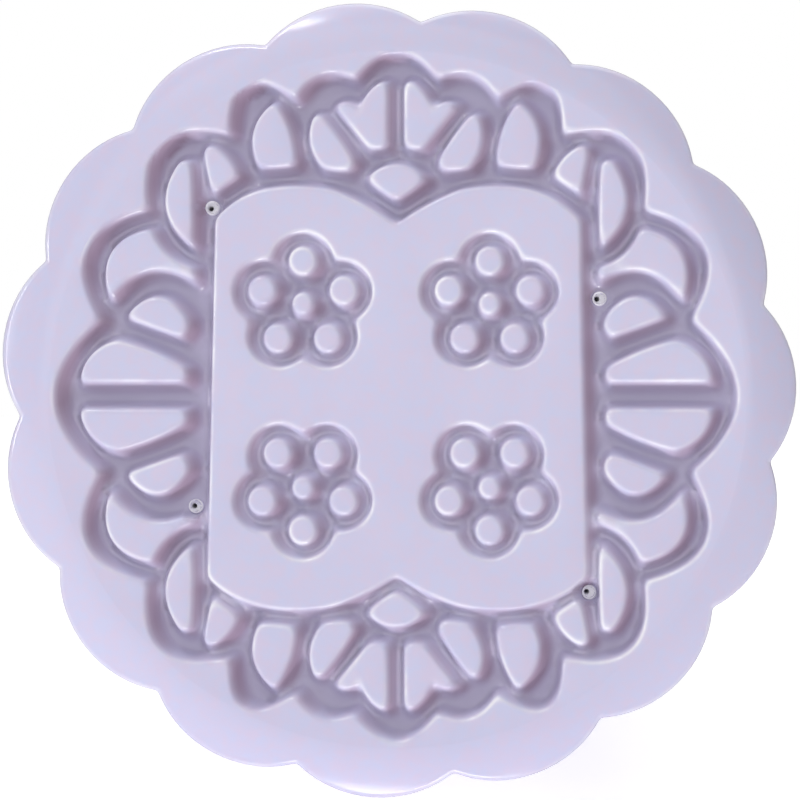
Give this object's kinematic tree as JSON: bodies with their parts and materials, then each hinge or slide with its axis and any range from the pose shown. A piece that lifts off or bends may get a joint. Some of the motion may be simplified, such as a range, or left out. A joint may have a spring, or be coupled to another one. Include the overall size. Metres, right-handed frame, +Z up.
{
  "type": "mooncake press",
  "caption": "Hand press for moulding mooncakes: a sprung plunger pushes a scalloped, engraved stamp plate through a scalloped barrel.",
  "frame": {"origin": "on the surface the press lies on, under the middle of its length", "axes": "+Y along the press axis from the stamp to the palm handle, +Z up, +X to the right of somebody facing the stamp"},
  "size_m": [0.067, 0.1196, 0.0669],
  "materials": {
    "lavender_plastic": "gloss",
    "steel": "satin",
    "brass": "satin",
    "rubber": "matte",
    "white_nylon": "satin"
  },
  "bodies": {
    "barrel": {"barrel": "lavender_plastic", "barrel_cap": "lavender_plastic", "cap_screws": "steel", "guide_bush": "white_nylon", "detent_clip": "steel", "lower_spring_washer": "steel", "return_spring": "steel"},
    "plunger": {"plate_grip_ring": "rubber", "plunger_foot": "lavender_plastic", "foot_screw": "steel", "plunger_rod": "lavender_plastic", "rod_inserts": "brass", "foot_buffer": "rubber", "upper_spring_washer": "steel", "stop_sleeve": "white_nylon", "bumper_ring": "rubber", "handle_body": "lavender_plastic", "handle_washer": "steel", "handle_bolt": "steel", "palm_cap": "lavender_plastic"},
    "plate": {"stamp_plate": "lavender_plastic"}
  },
  "joints": [
    {"name": "plunger_slide", "type": "slide", "parent": "barrel", "child": "plunger", "axis": [0, 1, 0], "range_m": [0, 0.038], "stiffness_N_per_m": 200, "springref_m": 0.045, "deforming": ["return_spring"]},
    {"name": "plate_pull", "type": "slide", "parent": "plunger", "child": "plate", "axis": [0, -1, 0], "range_m": [0, 0.012]}
  ]
}
